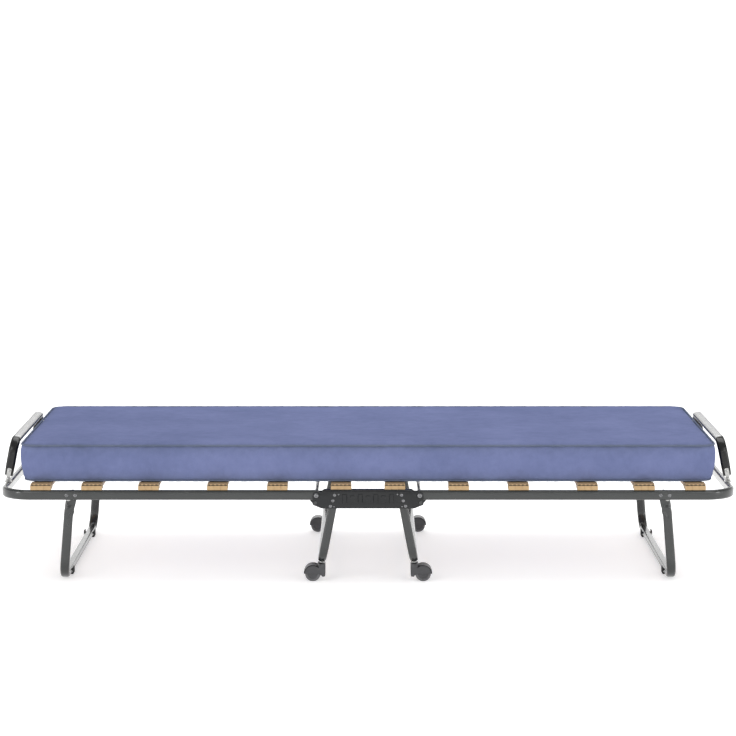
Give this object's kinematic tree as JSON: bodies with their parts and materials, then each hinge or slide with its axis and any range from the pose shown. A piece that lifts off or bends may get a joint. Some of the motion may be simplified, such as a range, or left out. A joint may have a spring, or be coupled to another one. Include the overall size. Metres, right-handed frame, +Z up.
{
  "type": "folding cot",
  "caption": "Rollaway folding bed on casters: two slatted tube wings fold up about a low base, with automatic end legs and a one-piece mattress.",
  "frame": {"origin": "on the floor, under the middle of the bed", "axes": "+X along the bed's length, -Y the near side, +Z up; the two wings fold about lines along Y"},
  "size_m": [1.9052, 0.808, 0.3621],
  "materials": {
    "frame_paint": "gloss",
    "zinc": "satin",
    "slat_wood": "satin",
    "caster_plastic": "satin",
    "foot_plastic": "satin",
    "mattress_fabric": "matte"
  },
  "bodies": {
    "base": {"side_plate_near": "frame_paint", "side_plate_far": "frame_paint", "caster_leg_left": "frame_paint", "caster_leg_right": "frame_paint", "tie_rod_left": "frame_paint", "tie_rod_right": "frame_paint", "pivot_bolt_near_left": "zinc", "pivot_bolt_far_left": "zinc", "pivot_bolt_near_right": "zinc", "pivot_bolt_far_right": "zinc", "base_slat_1": "slat_wood", "base_slat_2": "slat_wood", "mattress_middle": "mattress_fabric", "caster_stem_near_left": "zinc", "caster_stem_near_right": "zinc", "caster_stem_far_left": "zinc", "caster_stem_far_right": "zinc"},
    "wing_left": {"wing_frame_left": "frame_paint", "slat_left_1": "slat_wood", "slat_left_2": "slat_wood", "slat_left_3": "slat_wood", "slat_left_4": "slat_wood", "slat_left_5": "slat_wood", "mattress_left": "mattress_fabric", "leg_bracket_near_left": "zinc", "leg_bracket_far_left": "zinc", "retainer_hinge_near_left": "zinc", "retainer_hinge_far_left": "zinc"},
    "leg_left": {"end_leg_left": "frame_paint", "foot_clip_near_left": "foot_plastic", "foot_clip_far_left": "foot_plastic"},
    "links_left": {"link_bar_near_left": "zinc", "link_bar_far_left": "zinc"},
    "retainer_left": {"retainer_left": "frame_paint"},
    "wing_right": {"wing_frame_right": "frame_paint", "slat_right_1": "slat_wood", "slat_right_2": "slat_wood", "slat_right_3": "slat_wood", "slat_right_4": "slat_wood", "slat_right_5": "slat_wood", "mattress_right": "mattress_fabric", "leg_bracket_near_right": "zinc", "leg_bracket_far_right": "zinc", "retainer_hinge_near_right": "zinc", "retainer_hinge_far_right": "zinc"},
    "leg_right": {"end_leg_right": "frame_paint", "foot_clip_near_right": "foot_plastic", "foot_clip_far_right": "foot_plastic"},
    "links_right": {"link_bar_near_right": "zinc", "link_bar_far_right": "zinc"},
    "retainer_right": {"retainer_right": "frame_paint"},
    "caster_near_left": {"caster_hood_near_left": "caster_plastic"},
    "wheels_near_left": {"caster_wheels_near_left": "caster_plastic"},
    "caster_near_right": {"caster_hood_near_right": "caster_plastic"},
    "wheels_near_right": {"caster_wheels_near_right": "caster_plastic"},
    "caster_far_left": {"caster_hood_far_left": "caster_plastic"},
    "wheels_far_left": {"caster_wheels_far_left": "caster_plastic"},
    "caster_far_right": {"caster_hood_far_right": "caster_plastic"},
    "wheels_far_right": {"caster_wheels_far_right": "caster_plastic"}
  },
  "joints": [
    {"name": "wing_fold_left", "type": "hinge", "parent": "base", "child": "wing_left", "pos_m": [-0.133, 0, 0.232], "axis": [0, 1, 0], "range_deg": [0, 90], "deforming": ["mattress_middle"]},
    {"name": "leg_fold_left", "type": "hinge", "parent": "wing_left", "child": "leg_left", "pos_m": [-0.763, 0, 0.229], "axis": [0, -1, 0], "range_deg": [0, 95]},
    {"name": "link_turn_left", "type": "hinge", "parent": "base", "child": "links_left", "pos_m": [-0.1425, 0, 0.2235], "axis": [0, 1, 0], "range_deg": [0, 90]},
    {"name": "retainer_swing_left", "type": "hinge", "parent": "wing_left", "child": "retainer_left", "pos_m": [-0.9425, 0, 0.253], "axis": [0, -1, 0], "range_deg": [0, 90]},
    {"name": "wing_fold_right", "type": "hinge", "parent": "base", "child": "wing_right", "pos_m": [0.133, 0, 0.232], "axis": [0, -1, 0], "range_deg": [0, 90], "deforming": ["mattress_middle"]},
    {"name": "leg_fold_right", "type": "hinge", "parent": "wing_right", "child": "leg_right", "pos_m": [0.763, 0, 0.229], "axis": [0, 1, 0], "range_deg": [0, 95]},
    {"name": "link_turn_right", "type": "hinge", "parent": "base", "child": "links_right", "pos_m": [0.1425, 0, 0.2235], "axis": [0, -1, 0], "range_deg": [0, 90]},
    {"name": "retainer_swing_right", "type": "hinge", "parent": "wing_right", "child": "retainer_right", "pos_m": [0.9425, 0, 0.253], "axis": [0, 1, 0], "range_deg": [0, 90]},
    {"name": "caster_swivel_near_left", "type": "hinge", "parent": "base", "child": "caster_near_left", "pos_m": [-0.119, -0.345, 0.04], "axis": [0, 0, 1], "continuous": true},
    {"name": "wheel_roll_near_left", "type": "hinge", "parent": "caster_near_left", "child": "wheels_near_left", "pos_m": [-0.143, -0.345, 0.02], "axis": [0, 1, 0], "continuous": true},
    {"name": "caster_swivel_near_right", "type": "hinge", "parent": "base", "child": "caster_near_right", "pos_m": [0.119, -0.345, 0.04], "axis": [0, 0, 1], "continuous": true},
    {"name": "wheel_roll_near_right", "type": "hinge", "parent": "caster_near_right", "child": "wheels_near_right", "pos_m": [0.143, -0.345, 0.02], "axis": [0, 1, 0], "continuous": true},
    {"name": "caster_swivel_far_left", "type": "hinge", "parent": "base", "child": "caster_far_left", "pos_m": [-0.119, 0.345, 0.04], "axis": [0, 0, 1], "continuous": true},
    {"name": "wheel_roll_far_left", "type": "hinge", "parent": "caster_far_left", "child": "wheels_far_left", "pos_m": [-0.143, 0.345, 0.02], "axis": [0, 1, 0], "continuous": true},
    {"name": "caster_swivel_far_right", "type": "hinge", "parent": "base", "child": "caster_far_right", "pos_m": [0.119, 0.345, 0.04], "axis": [0, 0, 1], "continuous": true},
    {"name": "wheel_roll_far_right", "type": "hinge", "parent": "caster_far_right", "child": "wheels_far_right", "pos_m": [0.143, 0.345, 0.02], "axis": [0, 1, 0], "continuous": true}
  ],
  "couplings": [
    {"joint": "leg_fold_left", "follows": "wing_fold_left", "ratio": 1.0555},
    {"joint": "link_turn_left", "follows": "wing_fold_left", "ratio": 1},
    {"joint": "leg_fold_right", "follows": "wing_fold_right", "ratio": 1.0555},
    {"joint": "link_turn_right", "follows": "wing_fold_right", "ratio": 1}
  ]
}
